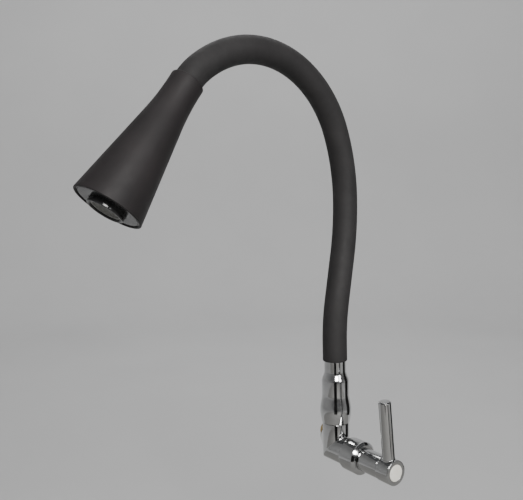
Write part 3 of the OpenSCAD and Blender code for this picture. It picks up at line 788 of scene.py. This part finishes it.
def make_screen(matrix, top, radius):
    """The aerator's woven screen in its rim."""
    pitch = 1.5 * MM
    wire_r = 0.22 * MM
    weave_at = top - 0.9 * MM
    weave_r = radius - 0.8 * MM
    rim_low = top - 2.5 * MM
    rim_in = radius - 1.5 * MM
    rim = [(rim_in, rim_low, 0), (radius, rim_low, 0), (radius, top, 0.2 * MM),
           (rim_in, top, 0.5 * MM)]
    parts = [lathe_mesh(rounded(rim), matrix)]
    count = int((radius - 1 * MM) / pitch)
    for direction in (0, 1):
        for i in range(-count, count + 1):
            across = i * pitch
            reach = math.sqrt(weave_r ** 2 - across ** 2)
            steps = max(4, round(2 * reach / pitch) * 2)
            line = []
            for k in range(steps + 1):
                along = -reach + 2 * reach * k / steps
                side = 1 if (i + direction) % 2 else -1
                lift = side * wire_r * math.cos(math.pi * along / pitch)
                x, y = (along, across) if direction else (across, along)
                line.append(matrix @ Vector((x, y, weave_at + lift)))
            parts.append(wire(line, wire_r))
    verts, faces = join_meshes(*parts)
    add_piece("woven_screen", verts, faces, "mesh_plastic", "head", ["aerator_mesh"], 40)


# ---- Stage, light and camera ----

def painted(name, verts, faces, material, base, roughness, tint):
    """An object of the studio, linked to the scene, with its colour varied by a noise."""
    mesh = bpy.data.meshes.new(name)
    mesh.from_pydata(verts, [], faces)
    mat, tree, shader = node_material(material, base, roughness)
    tint_base(tree, shader, *tint)
    mesh.materials.append(mat)
    thing = bpy.data.objects.new(name, mesh)
    bpy.context.scene.collection.objects.link(thing)
    return thing


def make_stage():
    """A pale floor that curves up into a round backdrop on every side."""
    floor_drop = 0.30
    floor_z = cad_box[0][2] - floor_drop
    centre_r, flat_r, wall_r, wall_h = 0.001, 2.2, 3.0, 3.2
    curve_r = wall_r - flat_r
    curve_steps, segments = 12, 96
    profile = [(centre_r, floor_z), (flat_r, floor_z)]
    for k in range(1, curve_steps + 1):
        a = k / curve_steps * math.pi / 2
        profile.append((flat_r + curve_r * math.sin(a), floor_z + curve_r * (1 - math.cos(a))))
    profile.append((wall_r, floor_z + wall_h))
    verts, faces = [], []
    for r, z in profile:
        for s in range(segments):
            a = TURN * s / segments
            verts.append((r * math.cos(a), r * math.sin(a), z))
    for i in range(len(profile) - 1):
        for s in range(segments):
            n = (s + 1) % segments
            faces.append((i * segments + s, i * segments + n,
                          (i + 1) * segments + n, (i + 1) * segments + s))
    floor = painted("studio_floor", verts, faces, "pale_floor", (0.6, 0.6, 0.6), 0.9,
                    (3, 3, (0.59, 0.592, 0.595), (0.61, 0.612, 0.613)))
    for polygon in floor.data.polygons:
        polygon.use_smooth = True
    make_mat(floor_z)


def make_mat(floor_z):
    """A darker round mat on the floor, which the chrome's lower side reflects."""
    radius, forward, lift, segments = 1.3, 0.95, 0.004, 96
    verts = [(radius * math.cos(TURN * s / segments), radius * math.sin(TURN * s / segments), 0)
             for s in range(segments)]
    disc = painted("floor_mat", verts, [tuple(range(segments))], "grey_mat", (0.3, 0.3, 0.29), 0.9,
                   (8, 4, (0.28, 0.278, 0.27), (0.32, 0.317, 0.308)))
    disc.location = (0, -forward, floor_z + lift)


def area_light(name, place, aim, size, power, colour=(1, 1, 1)):
    """A softbox of size in metres and power in watts that the camera doesn't see."""
    data = bpy.data.lights.new(name, "AREA")
    data.shape = "RECTANGLE"
    data.size, data.size_y = size
    data.energy = power
    data.color = colour
    light = bpy.data.objects.new(name, data)
    light.location = place
    light.rotation_euler = (Vector(aim) - Vector(place)).to_track_quat("-Z", "Y").to_euler()
    light.visible_camera = False
    bpy.context.scene.collection.objects.link(light)


def flag(name, place, size):
    """A black card that shows only in reflections, for polished metal's dark streaks."""
    width, height = size[0] / 2, size[1] / 2
    corners = [(-width, 0, -height), (width, 0, -height), (width, 0, height), (-width, 0, height)]
    card = painted(name, corners, [(0, 1, 2, 3)], "black_felt", (0.01, 0.01, 0.01), 1.0,
                   (60, 3, (0.008, 0.008, 0.008), (0.014, 0.014, 0.014)))
    card.location = place
    card.rotation_euler = (0, 0, math.atan2(place[1], place[0]) + math.pi / 2)
    card.visible_camera = False
    card.visible_diffuse = False
    card.visible_shadow = False


def make_light():
    """Four softboxes, three black cards and a dim even world."""
    aim = (-0.03, -0.06, 0.15)
    area_light("key_softbox", (0.25, -1.75, 1.05), aim, (0.8, 0.5), 38, (1.0, 0.985, 0.965))
    area_light("top_softbox", (-0.2, -0.2, 2.0), aim, (1.2, 1.2), 6)
    area_light("fill_softbox", (1.0, -1.3, 0.7), aim, (0.5, 0.5), 8, (0.98, 0.99, 1.0))
    area_light("back_wash", (0.0, 1.4, 1.9), (0, 2.2, 0.0), (2.0, 0.8), 26)
    flag("front_flag", (-0.1, -1.0, -0.05), (0.4, 0.6))
    flag("side_flag", (0.75, 0.12, 0.1), (0.5, 1.0))
    flag("lever_flag", (0.5, -0.6, -0.1), (0.14, 0.4))
    world = bpy.data.worlds.new("studio_world")
    world.use_nodes = True
    background = world.node_tree.nodes["Background"]
    background.inputs["Color"].default_value = (0.75, 0.76, 0.78, 1)
    background.inputs["Strength"].default_value = 0.12
    bpy.context.scene.world = world


def make_camera():
    """Stands a little above and left of the tap, at a place fitted to the photograph."""
    data = bpy.data.cameras.new("camera")
    data.sensor_width = 36
    data.lens = 44.7
    camera = bpy.data.objects.new("camera", data)
    pitch, roll = math.radians(-4.44), math.radians(-1.32)
    matrix = Matrix.Rotation(math.pi / 2 + pitch, 4, "X") @ Matrix.Rotation(roll, 4, "Z")
    matrix.translation = (-0.0641, -0.6074, 0.2267)
    camera.matrix_world = matrix
    bpy.context.scene.collection.objects.link(camera)
    bpy.context.scene.camera = camera


make_camera()
paint_cad_nodes()
make_body()
make_chest_ring()
make_inlet()
make_lever()
make_foot()
make_hose()
make_head()
make_stage()
make_light()
